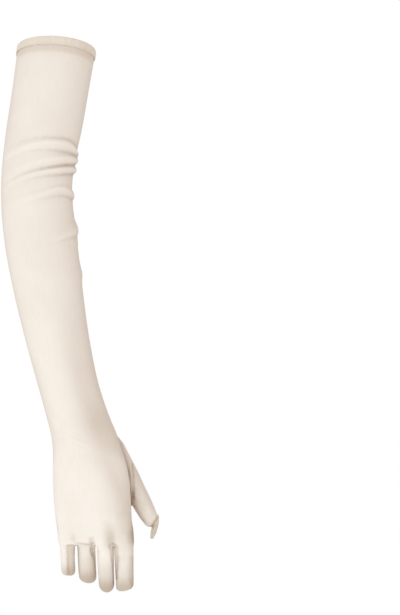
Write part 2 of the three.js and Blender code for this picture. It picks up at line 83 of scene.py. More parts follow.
# The outline of the arm and the palm at each level: left and right edges seen from the front, front and
# rear edges seen from the side, and the squareness of the section
ARM_COLUMNS = ("z", "left", "right", "front", "rear", "power")
ARM_SECTIONS = [
    (24, -39.3, 43.9, -38.5, 46.5, 2.0),
    (0, -41.4, 40.7, -42.0, 42.0, 2.0),
    (-40, -46.0, 34.2, -48.0, 34.5, 2.0),
    (-90, -52.7, 25.8, -56.0, 24.5, 2.0),
    (-115, -55.3, 20.4, -59.0, 19.5, 2.05),
    (-141, -56.9, 17.2, -62.0, 14.0, 2.05),
    (-166, -56.4, 18.2, -66.5, 9.5, 2.05),
    (-208, -51.9, 23.4, -75.0, 1.5, 2.05),
    (-257, -41.9, 29.4, -83.5, -10.5, 2.1),
    (-307, -29.1, 36.8, -89.5, -24.5, 2.1),
    (-356, -14.9, 47.8, -94.0, -40.5, 2.2),
    (-387, -6.0, 59.0, -97.5, -50.5, 2.3),
    (-401, -2.3, 65.0, -98.5, -54.0, 2.35),
    (-417, -0.4, 70.2, -99.0, -55.5, 2.4),
    (-433, -0.2, 75.0, -99.0, -57.5, 2.45),
    (-450, -0.1, 77.6, -98.2, -59.5, 2.5),
    (-468, 0.7, 79.1, -96.6, -61.0, 2.55),
    (-485, 2.3, 80.2, -94.8, -62.0, 2.55),
    (-498, 4.0, 80.5, -92.2, -63.5, 2.5),
    (-508, 5.2, 80.6, -89.5, -66.0, 2.5),
    (-520, 6.6, 80.4, -86.0, -69.5, 2.5),
]
PALM_END = -513.5
PALM_END_ROUND = 5.0

# Creases and crests of the cloth gathered in the crook of the elbow: the height of each line at the
# crook, halfway to the front, at the front, at the rear and at the outer side of the arm, its lift, its
# lift at the crook, and how fast both fade towards the outer side
ELBOW_FOLDS = [
    (-106.5, -97.0, -95.5, -97.0, -108.0, -0.65, 0.0, 0.9),
    (-111.5, -102.3, -101.9, -104.0, -119.0, 2.6, 2.4, 0.5),
    (-115.0, -110.9, -109.5, -110.0, -122.0, -0.9, 1.9, 1.0),
    (-118.5, -117.2, -121.7, -118.0, -142.0, 2.2, 3.3, 0.7),
    (-122.9, -124.6, -129.4, -126.0, -148.0, -0.75, 0.7, 0.9),
    (-128.5, -128.2, -132.8, -130.0, -152.0, 2.2, 3.2, 0.9),
    (-132.8, -134.7, -138.6, -135.5, -157.0, -1.0, 0.1, 1.0),
    (-140.0, -142.0, -146.5, -143.0, -162.0, 0.0, 0.0, 1.2),
    (-149.6, -144.0, -150.5, -147.0, -166.0, 0.0, -0.2, 1.3),
    (-154.8, -148.4, -156.7, -152.0, -170.0, 2.3, 2.1, 1.3),
    (-160.0, -156.2, -161.8, -157.0, -175.0, -0.6, -0.1, 1.5),
    (-167.0, -163.0, -168.0, -164.0, -182.0, 0.0, -0.2, 1.5),
    (-178.0, -189.0, -198.0, -190.0, -205.0, 0.0, 0.3, 3.0),
    (-190.3, -197.6, -206.5, -198.0, -212.0, 1.7, 2.9, 4.0),
    (-197.0, -201.6, -210.5, -203.0, -217.0, -0.45, 0.9, 4.5),
    (-207.0, -210.0, -218.0, -210.0, -225.0, 0.0, 0.5, 4.0),
]
FOLD_LEVELS = (ELBOW_FOLDS[0][2], ELBOW_FOLDS[-1][4])  # the highest and lowest places that they reach
CREASE_SHARPNESS = 2.4  # how steeply the cloth falls from a crest into the crease below it
CREASE_LINE = (2.4, 1.3)  # how far above and below a crease it is dark, at two deviations
# Painted shade along the elbow's creases, for each millimetre of their depth
CREASE_PAINTED_SHADE = 0.35
CREST_PAINTED_HIGHLIGHT = (0.09, 2.0)  # a painted highlight: how much lighter a crest is for each millimetre of its lift, and how broadly
BASE_SHADE = 0.1

# Where the forearm and the palm swell or hollow: the angle from +X towards the palm side, the height,
# the lift, and how far it spreads round and along
SWELLINGS = [
    (0, -236, 1.6, 24, 8),
    (48, -452, 3.2, 30, 24),
    (128, -458, 1.8, 26, 28),
    (92, -480, -2, 24, 18),
]

# Small ridges and hollows of the cloth along a line seen from the front: its two ends, its width, and
# how far it stands out. They are on the back of the hand, and on the front of the thumb
BACK_WRINKLES = [
    (9.5, -400.0, 33.0, -410.5, 1.6, 0.45),
    (10.5, -402.5, 34.0, -413.0, 1.5, -0.5),
    (21.0, -504.0, 21.0, -508.5, 2.2, -1.0),
    (39.8, -507.0, 40.3, -511.5, 2.2, -1.5),
    (58.0, -492.0, 59.0, -512.0, 5.0, -1.9),
    (22.8, -509.8, 38.0, -511.9, 0.9, 0.6),
    (22.8, -511.8, 38.0, -513.9, 0.9, -0.6),
    (40.4, -517.0, 41.2, -523.5, 1.8, -1.6),
]
THUMB_WRINKLES = [
    (78.4, -428.0, 79.8, -466.0, 0.9, 0.9),
    (80.4, -432.0, 81.9, -440.0, 0.9, -0.9),
    (81.9, -440.0, 81.7, -468.0, 0.9, -1.1),
    (78.8, -459.5, 79.2, -462.0, 1.2, -1.0),
    (79.9, -466.0, 79.6, -469.0, 1.1, -0.8),
    (78.0, -471.5, 80.5, -472.5, 1.1, -0.8),
    (81.0, -470.0, 84.5, -475.0, 1.0, 0.7),
    (106.8, -487.9, 100.4, -497.6, 1.1, -1.3),
]
# How far in front of the thumb's middle its wrinkles reach their full height, how far in front they end,
# short of the hand's edge, and over what depth
THUMB_FRONT = (2.5, 15.0, 3.0)
BACK_EDGE = 4.0  # over what depth in front of the side seam those of the back grow

# Each finger: its knuckle, where the tip is across the hand, the bone lengths, the slope of each bone
# towards the palm in degrees, the half width and half depth at the base and near the tip, how long the
# rounded tip is, how square it is on its left and right, and how much darker its end is
FINGERS = {
    "index": dict(
        knuckle=(71.8, -84.4, -488.6), tip_x=72.7, bones=(39.5, 23.5, 22.5), slopes=(12, 35, 48),
        wide=(10.4, 9.1), deep=(9.4, 7.6), tip=6.5, square=(4.2, 2.3), end_tone=0.22,
    ),
    "middle": dict(
        knuckle=(52.3, -85, -486.6), tip_x=53.9, bones=(43, 27, 24.3), slopes=(12, 37, 51),
        wide=(9.0, 8.0), deep=(9.4, 7.6), tip=13.0, square=(2.0, 2.1), end_tone=0.3,
    ),
    "ring": dict(
        knuckle=(33.0, -84.2, -490), tip_x=33.8, bones=(40, 25, 21.5), slopes=(31, 42, 54),
        wide=(9.2, 9.2), deep=(9.2, 7.6), tip=9.0, square=(2.0, 2.5), end_tone=0.25,
    ),
    "little": dict(
        knuckle=(15.2, -82.6, -496), tip_x=14.1, bones=(31, 18, 17.5), slopes=(23, 46, 59),
        wide=(7.8, 7.2), deep=(8.2, 6.6), tip=7.0, square=(2.5, 2.8), end_tone=0.0,
    ),
}
FINGER_POWER = 2.3
# From what share of its length its tip is squared, over what share, and over what width that turns
FINGER_SQUARING = (0.8, 0.2, 8.0)
FINGER_GROWTH = ((0, 0.62), (0.12, 0.9), (0.26, 1), (1, 1))  # shares of its width from the knuckle
TIP_BACK = 2.3  # how far the end of the cloth is drawn back from the bare fingertip's place
TIP_END = 3.0  # how far above that place the strips between the fingers end
PALM_BLEND = 5.0  # how softly the fingers grow out of the palm

# The thumb: the middle of each section, and its half width and half depth
THUMB_COLUMNS = ("x", "y", "z", "wide", "deep")
THUMB_SECTIONS = [
    (44, -75, -394, 8.5, 8.5),
    (53, -70.5, -405, 11, 10.5),
    (61, -66.5, -417.5, 12.5, 12),
    (68.4, -63, -431, 11.9, 12.2),
    (76.7, -60, -445.4, 10.9, 11.6),
    (84.5, -57, -460.5, 9.9, 10.6),
    (90.4, -55, -473, 10.0, 9.6),
    (95.8, -53.5, -483.5, 9.2, 8.3),
    (99.8, -52.5, -490.8, 7.8, 6.4),
]
THUMB_TIP_ROUND = 6.5
THUMB_POWER = 2.1
THUMB_BLEND = 1.6
THUMB_PARTING = 1.4  # how fast the thumb and the palm part for each millimetre from their seam

# The cloth puckered in the web between the thumb and the hand
WEB_SECTIONS = [
    (78.4, -66.5, -452.0, 1.6, 3.5),
    (79.0, -64.8, -460.0, 2.3, 4.2),
    (79.7, -63.2, -467.0, 2.4, 3.6),
    (80.1, -61.7, -473.0, 2.3, 2.6),
]
WEB_END = 2.6
WEB_BLEND = 1.2
WEB_TUFTS = (0.2, 5.0)  # how far its gathers stand out, and how far apart they are
# Its painted shade, dark places in its puckers: where they are, how far they spread, and their depth
WEB_SHADE = [((79.0, -66.5, -464.5), 2.6, 0.8), ((79.6, -66.0, -471.0), 3.2, 0.9)]

# The empty flat end of the thumb's cloth, folded over past the tip
FLAP_SECTIONS = [
    (104.6, -52.8, -487.5, 3.6, 2.2),
    (103.9, -52.3, -493.5, 4.3, 1.9),
    (103.3, -51.9, -499.0, 3.4, 1.6),
    (102.0, -51.3, -504.0, 3.3, 1.5),
    (101.0, -50.8, -507.3, 2.3, 1.3),
]
FLAP_END = 3.2
FLAP_TURN = 0.55  # how far it is turned round its length, towards its right edge

# The fourchettes, from the thumb side: the fingers on the left and right, how far the cloth is turned to
# the front on each, down to which level, and the painted shade on the strip there, painted light where it
# is below nought
# name, left, right, left turn, left end, left tone, right turn, right end, right tone
FOURCHETTES = [
    ("fourchette_index_middle", "middle", "index", 1.0, -535, 0.0, 2.3, -562, 0.25),
    ("fourchette_middle_ring", "ring", "middle", 2.6, -535, -0.1, 0.0, -535, -0.1),
    ("fourchette_ring_little", "little", "ring", 5.5, -575, 0.25, 0.0, -535, -0.1),
]
FOURCHETTE_TOP = -504.5
TAPER = 9.0  # over what length the strips run out at a fingertip
TURN_TOP = -512.5
TURN_FADES = (1.5, 14.0)  # over what lengths the turn starts and ends
TURN_REACH = (7.0, 3.0)  # how far from the finger's middle it reaches, and how softly
CURL_GROWTH = (-529, 7.0)  # where it starts to widen on a curled finger on the left, and how fast
FOURCHETTE_HALF = [(-504.5, 4.6), (-519, 5.2), (-543, 5.2), (-552, 4.6), (-562, 3.4), (-580, 2.4)]
WEB_LEVEL = (-509, -528)
WEB_REACH = 0.25
SEAM_TURN = (-480, -504)

# The grid that the surface is found on, and where it is finer
GRID_STEP = 1.6
GRID_X = (-63, 113)
GRID_Y = (-106, 52)
GRID_LEVELS = [(22, -92, 2.6), (-92, -222, 0.95), (-222, -395, 2.8), (-395, -575, 1.25)]
FINE_X = [(24.3, 3.0, 0.35), (43.4, 2.4, 0.3), (62.2, 2.6, 0.3), (79.5, 6.0, 0.7), (102.5, 11.0, 0.8)]
FINE_Y = [(-52.0, 10.0, 0.8)]

# The levels below which the thumb, its web, its flat end and the fingers are, and the bands between
# which only what is near is worked out
THUMB_TOP = -380
WEB_TOP = -445
FLAP_TOP = -470
FINGERS_TOP = -478
BANDS = (1000, -90, -230, THUMB_TOP, WEB_TOP, FLAP_TOP, FINGERS_TOP, -1000)

# How dark the painted shade is drawn where the cloth is creased or closes in between parts: two distances
# off the surface, and their shares
CREASE_REACH = [(1.3, 0.5), (3.6, 0.5)]
# What is left of it between the fingers, from where down and over what length
BETWEEN_FINGERS = (0.1, -513, 6)
# And where the thumb's cloth runs out into the arm, between two levels, each with its length
GUSSET_SHADE = 0.1
GUSSET = (-390, 10, -466, 13)
TIP_SHADE = 0.42  # at the ends of the fingers, where the cloth is double and empty
TIP_LENGTHS = ((11, 16), (34, 28))  # where that starts, and where the broader darkening before it does
TIPS_TOP = -516  # both are below this
TIP_BESIDE = 1.5  # how far beside the finger it still holds
SEAM_SHADE = 0.17
# Where the seams and the darkening beside them start to show less on the left of the fingers, which face
# the light and so are painted lighter, over what length, and up to the index
FAINT_SEAMS = (-500, 15)
FAINT_UP_TO = 61
# Between which levels they show less round the web beside the index, how much less, and from where on
WEB_SEAMS = (-510, 5, -528, 6)
WEB_FAINT = (0.7, 45)
# How far the darkening beside a seam reaches on the arm and on the hand, and how much it darkens: the
# double cloth of the seam allowance, and on the arm, where it reaches far, painted shade towards the sides
# that turn from the light
ALLOWANCE_AND_EDGE_SHADE = (24.0, 2.5)
THUMB_ALLOWANCE = (5.0, 2.5)
STRIP_ALLOWANCE = (1.5, 1.5)
ALLOWANCE_AND_EDGE_SHADE_DEPTH = 0.25
WRIST = (-400, 50)  # where its reach starts to turn from the arm's to the hand's, and over what length
SEAMS_START = (4, 4)  # how far below the opening the seams start to show, and over what length
INDEX_EDGE_PAINTED_SHADE = (9.0, 0.5)  # painted shade on the thumb side of the index finger, turned from the light: how much further it reaches and how much more it darkens
INDEX_SIDE = (FINGERS_TOP, 30)  # where that starts down the hand, and over what length
INDEX_OVER = (68, 6)  # and the same across it
WRINKLE_PAINTED_SHADE = (0.2, 0.5)  # painted shade in the hollows, for each millimetre of a wrinkle's depth, on the back and on the thumb
KNUCKLES = (-486, 24)  # where the back's start to show dark, and over what length they grow
SPECK = 0.2  # a point this much darker than those round it is a speck
# Painted shade on the inner side of the cloth, as its share towards the deepest colour
INSIDE_SHADE = 0.5

# Painted shade on the back, on its side towards the thumb that turns from the light: the height, the place
# from the middle to the thumb's edge, how far it spreads, and its depth
SIDE_PAINTED_SHADE = [
    (-250, 0.45, 0.35, 0.0),
    (-360, 0.45, 0.38, 0.22),
    (-425, 0.5, 0.38, 0.2),
    (-465, 0.82, 0.28, 0.3),
    (-500, 0.92, 0.28, 0.36),
    (-532, 0.92, 0.28, 0.0),
]

# Painted shade down the thumb, and along its lower edge
THUMB_SHADE = [
    (-395, 0.1), (-440, 0.27), (-474, 0.22), (-486, 0.14), (-491, 0.18), (-498, 0.4), (-512, 0.4)
]
THUMB_EDGE = (0.55, 0.4, 0.4)  # where across it that starts, over what share it grows, and its depth
THUMB_EDGE_TOP = (-466, 8)
STRIP_TURN = 4  # over what width a strip's tone turns from one finger's to the other's

# Colours of 0 to 255: each cloth where it is light and where it is dark, the holes of the net and the
# deepest painted shade, the thread
CLOTH_COLOURS = {
    "mesh_fabric": ((228, 215, 203), (222, 208, 195)),
    "fourchette_fabric": ((223, 208, 193), (215, 198, 181)),
    "hem_fabric": ((215, 200, 185), (206, 190, 173)),
}
HOLE_AND_SHADE_COLOUR = (158, 134, 112)
THREAD = (214, 194, 172)
UNDER_HEM = (0.93, 0.9, 0.87, 1)  # what the turned-in hem leaves of the colour of the cloth over it
WEAVE = (1200, 1000, 1)  # cells of the mesh in a metre, round and along
STREAKS = (420, 60, 1)  # and its streaks
HAND_WEAVE = (-492, 16)  # where its rows turn from round the arm to straight across the fingers
SHARP_ANGLE = 55

# The studio in metres: the camera and the height that it sees at the origin's distance, the floor's half
# width and level, and for each light its name, place, aim, size and power
CAMERA_PLACE = (0.15015, -3.0, -0.2714)
PICTURE_HEIGHT = 0.64575
FLOOR = (30, -1.8)
LIGHTS = [
    ("key", (-1.05, -2.4, 0.9), (0.02, -0.04, -0.28), (1.0, 1.0), 22.5),
    ("low", (-0.3, -1.4, -1.5), (0.04, -0.07, -0.54), (0.8, 0.5), 10.5),
]
LIGHT_TINT = (0.67, 0.87, 1)


def table(columns, rows):
    """A table's columns by name, from its highest row to its lowest."""
    return dict(zip(columns, np.array(rows, float).T))


def smoothstep(t):
    t = np.clip(t, 0, 1)
    return t * t * (3 - 2 * t)


def below(z, level, length):
    """From 0 at a level to 1 at a length below it."""
    return smoothstep((level - z) / length)


def between(z, top, top_length, end, end_length):
    """1 between two levels, and fading to 0 over a length inside each."""
    return below(z, top, top_length) * smoothstep((z - end) / end_length)


def lerp(a, b, t):
    return a + (b - a) * t


def smooth_min(a, b, reach):
    t = np.clip(0.5 + 0.5 * (b - a) / reach, 0, 1)
    return lerp(b, a, t) - reach * t * (1 - t)


def curve_at(a, b, c, d, t):
    """A place on the smooth curve through four values, between the second and the third."""
    square = 2 * a - 5 * b + 4 * c - d
    cube = 3 * b - a - 3 * c + d
    return 0.5 * (2 * b + (c - a) * t + square * t**2 + cube * t**3)


def smooth_column(levels, values, z):
    """A smooth curve through values given at levels that fall from row to row."""
    slopes = np.gradient(values, levels)
    row = np.clip(np.searchsorted(-levels, -z, side="right") - 1, 0, len(levels) - 2)
    span = levels[row + 1] - levels[row]
    t = np.clip((z - levels[row]) / span, 0, 1)
    rise = values[row + 1] - values[row]
    start = slopes[row] * span
    end = slopes[row + 1] * span
    return values[row] + t * (start + t * (3 * rise - 2 * start - end + t * (start + end - 2 * rise)))


ARM = table(ARM_COLUMNS, ARM_SECTIONS)


def arm_section(z):
    """Centre, half sizes and squareness of the arm's section at each height."""
    left, right, front, rear, power = (
        smooth_column(ARM["z"], ARM[name], z) for name in ARM_COLUMNS[1:]
    )
    return (left + right) / 2, (front + rear) / 2, (right - left) / 2, (rear - front) / 2, power


def fold_height(line, angle):
    """The height of a fold line at an angle round the arm, on a smooth curve through eight heights."""
    crook, inner, front, rear, outer = line
    back_inner = rear + inner - front
    knots = np.array(
        (crook, back_inner, rear, (rear + outer) / 2, outer, (front + outer) / 2, front, inner)
    )
    place = (angle / (math.pi / 4)) % 8
    start = np.floor(place).astype(int) % 8
    return curve_at(*(knots[(start + step) % 8] for step in (-1, 0, 1, 2)), place - np.floor(place))


def fold_lift(angle, z):
    """How far the cloth stands out in the folds of the elbow."""
    lift = np.zeros(np.broadcast(angle, z).shape)
    around = np.abs(np.cos(angle / 2))
    at_crook = np.maximum(np.cos(angle), 0) ** 8
    previous = None
    for *line, rise, crook_rise, fade in ELBOW_FOLDS:
        level = fold_height(line, angle)
        height = lerp(rise, crook_rise, at_crook) * around ** (2 * fade)
        if previous is not None:
            above, above_height, above_rise = previous
            share = np.clip((above - z) / np.maximum(above - level, 0.3), 0, 1)
            share = share**CREASE_SHARPNESS if above_rise > rise else smoothstep(share)
            lift = np.where((z < above) & (z >= level), lerp(above_height, height, share), lift)
        previous = (level, height, rise)
    return lift


def fold_shade(points):
    """Painted shade along the creases of the elbow, and painted highlights along the crests."""
    x, y, z = points.T
    centre_x, centre_y, wide, deep, _ = arm_section(z)
    angle = np.arctan2((y - centre_y) / deep, (x - centre_x) / wide)
    around = np.abs(np.cos(angle / 2))
    shade = np.zeros(len(points))
    for *line, rise, _, fade in ELBOW_FOLDS:
        above = z - fold_height(line, angle)
        if rise < 0:
            depth = -CREASE_PAINTED_SHADE * rise
            reach = np.where(above > 0, *CREASE_LINE)
        else:
            depth = -CREST_PAINTED_HIGHLIGHT[0] * rise
            reach = CREST_PAINTED_HIGHLIGHT[1]
        shade = shade + depth * around ** (2 + 2 * fade) * np.exp(-((above / reach) ** 2))
    return shade


def swelling_lift(angle, z):
    lift = 0
    for turn, level, rise, spread_angle, spread_z in SWELLINGS:
        round_by = (angle - math.radians(turn)) / math.radians(spread_angle)
        along_by = (z - level) / spread_z
        lift = lift + rise * np.exp(-(round_by**2) - along_by**2)
    return lift


def wrinkle_lift(wrinkles, x, z):
    """Small ridges and hollows along lines seen from the front."""
    lift = 0
    for x0, z0, x1, z1, width, rise in wrinkles:
        run = np.array((x1 - x0, z1 - z0))
        share = np.clip(((x - x0) * run[0] + (z - z0) * run[1]) / run.dot(run), 0, 1)
        gap = np.hypot(x - x0 - share * run[0], z - z0 - share * run[1])
        lift = lift + rise * np.exp(-((gap / width) ** 2))
    return lift


def arm_distance(x, y, z):
    """Distance from the surface of the arm and palm, negative inside."""
    centre_x, centre_y, wide, deep, power = arm_section(z)
    dx = x - centre_x
    dy = y - centre_y
    reach = np.hypot(dx, dy) + 1e-6
    ratio = (np.abs(dx / wide) ** power + np.abs(dy / deep) ** power) ** (1 / power)
    angle = np.arctan2(dy / deep, dx / wide)
    distance = reach - reach / ratio - swelling_lift(angle, z)
    if z.min() < FOLD_LEVELS[0] and z.max() > FOLD_LEVELS[1]:
        distance = distance - fold_lift(angle, z)
    return -smooth_min(-distance, z - PALM_END, PALM_END_ROUND)


def smooth_path(points, steps):
    """A curve through points, as a polyline."""
    points = np.array(points, float)
    ends = np.vstack((2 * points[0] - points[1], points, 2 * points[-1] - points[-2]))
    path = [
        curve_at(*four, step / steps)
        for four in zip(ends, ends[1:], ends[2:], ends[3:])
        for step in range(steps)
    ]
    return np.array([*path, points[-1]])


def lengths_along(path):
    """How far along a path each of its points is."""
    return np.concatenate(([0], np.cumsum(np.linalg.norm(np.diff(path, axis=0), axis=1))))


def finger_points(finger):
    """The knuckle, the joints and the bare fingertip's place."""
    points = [np.array(finger["knuckle"], float)]
    falls = [bone * math.cos(math.radians(slope)) for bone, slope in zip(finger["bones"], finger["slopes"])]
    for bone, slope, fall in zip(finger["bones"], finger["slopes"], falls):
        side = (finger["tip_x"] - finger["knuckle"][0]) * fall / sum(falls)
        points.append(points[-1] + (side, bone * math.sin(math.radians(slope)), -fall))
    return points


# Each finger's middle line inside the cloth, and the height where the strips beside it end
for finger in FINGERS.values():
    joints = finger_points(finger)
    finger["end_z"] = joints[-1][2] + TIP_END
    tip_run = joints[-1] - joints[-2]
    joints[-1] = joints[-1] - tip_run / np.linalg.norm(tip_run) * (finger["tip"] + TIP_BACK)
    finger["path"] = smooth_path(joints, 12)

THUMB = table(THUMB_COLUMNS, THUMB_SECTIONS)
FLAP = table(THUMB_COLUMNS, FLAP_SECTIONS)
WEB = table(THUMB_COLUMNS, WEB_SECTIONS)


def nearest_on_path(path, point):
    """How far along a path of two or three axes each point lies, how far past its ends, its offset from
    there, and the path's direction.
    """
    best = None
    lengths = np.linalg.norm(np.diff(path, axis=0), axis=1)
    total = lengths.sum()
    done = 0.0
    for start, length, run in zip(path, lengths, np.diff(path, axis=0)):
        away = [p - s for p, s in zip(point, start)]
        along = sum(a * r for a, r in zip(away, run)) / length
        held = np.clip(along, 0, length)
        off = [a - held * r / length for a, r in zip(away, run)]
        gap = sum(o * o for o in off)
        ahead = (np.full_like(gap, r / length) for r in run)
        here = [gap, (done + held) / total, along - held, *off, *ahead]
        if best is not None:
            closer = gap < best[0]
            here = [np.where(closer, new, old) for new, old in zip(here, best)]
        best = here
        done += length
    return best[1], best[2], best[3 : 3 + len(path[0])], best[3 + len(path[0]) :]


def rounded_distance(u, v, beyond, wide, deep, tip, power):
    """Distance from a rounded section, or from the rounded end past it."""
    reach = np.sqrt(u * u + v * v + beyond * beyond) + 1e-6
    ratio = np.abs(u / wide) ** power + np.abs(v / deep) ** power + np.abs(beyond / tip) ** power
    return reach - reach / np.maximum(ratio, 1e-9) ** (1 / power)


def finger_distance(finger, x, y, z):
    path = finger["path"]
    along, beyond, (off_y, off_z), (run_y, run_z) = nearest_on_path(path[:, 1:], (y, z))
    height = off_y * -run_z + off_z * run_y
    middle = np.interp(along, np.linspace(0, 1, len(path)), path[:, 0])
    growth = np.interp(along, *zip(*FINGER_GROWTH))
    wide = lerp(finger["wide"][0], finger["wide"][1], along) * growth
    deep = lerp(finger["deep"][0], finger["deep"][1], along) * growth
    left, right = finger["square"]
    start, growing, turning = FINGER_SQUARING
    tip_power = lerp(left, right, smoothstep((x - middle) / turning + 0.5))
    power = lerp(FINGER_POWER, tip_power, smoothstep((along - start) / growing))
    return rounded_distance(x - middle, height, beyond, wide, deep, finger["tip"], power)


def bent_distance(sections, x, y, z, end, turn):
    """Distance from a rounded form through sections, whose width is turned from X round its length."""
    path = np.array([sections[axis] for axis in "xyz"]).T
    along, beyond, off, run = nearest_on_path(path, (x, y, z))
    flat = np.sqrt(1 - run[0] ** 2)
    across = (flat, -run[0] * run[1] / flat, -run[0] * run[2] / flat)
    off = [o - beyond * r for o, r in zip(off, run)]
    level = sum(o * a for o, a in zip(off, across))
    height = (off[1] * run[2] - off[2] * run[1]) / flat
    u = level * math.cos(turn) - height * math.sin(turn)
    v = level * math.sin(turn) + height * math.cos(turn)
    marks = lengths_along(path) / lengths_along(path)[-1]
    wide = np.interp(along, marks, sections["wide"])
    deep = np.interp(along, marks, sections["deep"])
    return rounded_distance(u, v, beyond, wide, deep, end, THUMB_POWER)


def thumb_at(column, z):
    """One of the thumb's sizes at each height."""
    return np.interp(z, THUMB["z"][::-1], THUMB[column][::-1])


def thumb_front(y, z):
    """From 0 to 1 on the front of the thumb and of the web, and not on the edge of the hand beside it."""
    ahead = thumb_at("y", z) - y
    full, end, fade = THUMB_FRONT
    return smoothstep(ahead / full) * smoothstep((end - ahead) / fade)


def thumb_with_flap(x, y, z):
    thumb = bent_distance(THUMB, x, y, z, THUMB_TIP_ROUND, 0)
    if z.min() > WEB_TOP:
        return thumb
    height, apart = WEB_TUFTS
    web = bent_distance(WEB, x, y, z, WEB_END, 0) - height * np.sin(z * 2 * math.pi / apart)
    thumb = smooth_min(thumb, web, WEB_BLEND)
    if z.min() > FLAP_TOP:
        return thumb
    return np.minimum(thumb, bent_distance(FLAP, x, y, z, FLAP_END, FLAP_TURN))


def hand_distance(x, y, z):
    """Distance from the arm, palm and fingers, without the thumb."""
    distance = arm_distance(x, y, z)
    if z.min() > FINGERS_TOP:
        return distance
    fingers = [finger_distance(finger, x, y, z) for finger in FINGERS.values()]
    return smooth_min(distance, np.minimum.reduce(np.broadcast_arrays(*fingers)), PALM_BLEND)


def form_distance(x, y, z, detailed=False):
    """Distance from the surface of the whole glove, negative inside."""
    distance = hand_distance(x, y, z)
    if z.min() < THUMB_TOP:
        distance = smooth_min(distance, thumb_with_flap(x, y, z), THUMB_BLEND)
    if detailed:
        on_back = smoothstep((seam_height(x, z) - y) / BACK_EDGE)
        distance = distance - wrinkle_lift(BACK_WRINKLES, x, z) * on_back
        distance = distance - wrinkle_lift(THUMB_WRINKLES, x, z) * thumb_front(y, z)
    return distance


def grid_axis(start, end, step, fine):
    """Grid coordinates with finer steps around some places."""
    places = [start]
    while places[-1] < end:
        steps = [step]
        for place, width, fine_step in fine:
            gap = abs(places[-1] - place) - width / 2
            steps.append(fine_step if gap < 0 else min(step, fine_step + 0.4 * gap))
        places.append(places[-1] + min(steps))
    return np.array(places)


def surface_net(values, axes):
    """The zero level of values on a grid as quads, with one vertex in each cell that it crosses."""
    inside = values < 0
    cells = tuple(size - 1 for size in values.shape)
    corners = list(np.ndindex(2, 2, 2))
    steps = np.eye(3, dtype=int)
    count = np.zeros(cells, np.int8)
    for corner in corners:
        count += inside[tuple(slice(c, c + size) for c, size in zip(corner, cells))]
    crossed = (count > 0) & (count < 8)
    number = np.full(cells, -1)
    number[crossed] = np.arange(crossed.sum())
    where = np.argwhere(crossed)
    total = np.zeros((len(where), 3))
    hits = np.zeros((len(where), 1))
    for axis, step in enumerate(steps):
        for corner in (corner for corner in corners if not corner[axis]):
            ends = (where + corner, where + corner + step)
            low, high = (values[tuple(end.T)] for end in ends)
            meets = (low < 0) != (high < 0)
            share = np.where(meets, low / np.where(meets, low - high, 1), 0)[:, None]
            from_point, to_point = (np.stack([axes[i][end[:, i]] for i in range(3)], 1) for end in ends)
            total += np.where(meets[:, None], lerp(from_point, to_point, share), 0)
            hits += meets[:, None]
    quads = []
    for axis in range(3):
        first, second = (axis + 1) % 3, (axis + 2) % 3
        low = np.take(inside, range(values.shape[axis] - 1), axis)
        high = np.take(inside, range(1, values.shape[axis]), axis)
        edges = np.argwhere(low != high)
        kept = np.ones(len(edges), bool)
        for side in (first, second):
            kept &= (edges[:, side] > 0) & (edges[:, side] < cells[side])
        edges = edges[kept]
        shifts = (0, steps[first], steps[first] + steps[second], steps[second])
        quad = np.stack([number[tuple((edges - shift).T)] for shift in shifts], 1)
        leaving = low[tuple(edges.T)]
        quads.append(np.where(leaving[:, None], quad, quad[:, ::-1]))
    return total / hits, np.concatenate(quads)


def form_at(points, detailed):
    """The form's distance at points, with only what is near each band of levels worked out."""
    value = np.empty(len(points))
    for high, low in zip(BANDS, BANDS[1:]):
        here = (points[:, 2] <= high) & (points[:, 2] > low)
        if here.any():
            value[here] = form_distance(*points[here].T, detailed)
    return value


def slope_of(points, detailed):
    """The form's distance and slope at each point."""
    nudge = 0.04
    value = form_at(points, detailed)
    slope = [(form_at(points + nudge * step, detailed) - value) / nudge for step in np.eye(3)]
    return value, np.stack(slope, 1)


def settle(points, detailed, rounds):
    """Moves points onto the surface of the form, and gives the way out of it at each."""
    furthest = 0.8
    for _ in range(rounds):
        value, slope = slope_of(points, detailed)
        steepness = (slope**2).sum(1)
        move = np.clip(value / np.maximum(steepness, 0.05), -furthest, furthest)
        points = points - move[:, None] * slope
    return points, slope / np.linalg.norm(slope, axis=1)[:, None]


def edges_of(faces):
    """The edges of triangles or quads, each in its face's direction."""
    corners = faces.shape[1]
    return np.concatenate([faces[:, [i, (i + 1) % corners]] for i in range(corners)])


def relaxed(points, quads):
    """Moves each point halfway towards the middle of its neighbours, apart from those on an open edge."""
    edges = edges_of(quads)
    total = np.zeros_like(points)
    count = np.zeros(len(points))
    for a, b in (edges.T, edges.T[::-1]):
        for axis in range(3):
            total[:, axis] += np.bincount(a, points[b, axis], len(points))
        count += np.bincount(a, minlength=len(points))
    middle = total / np.maximum(count, 1)[:, None]
    free = count >= 6
    return np.where(free[:, None], lerp(points, middle, 0.5), points)


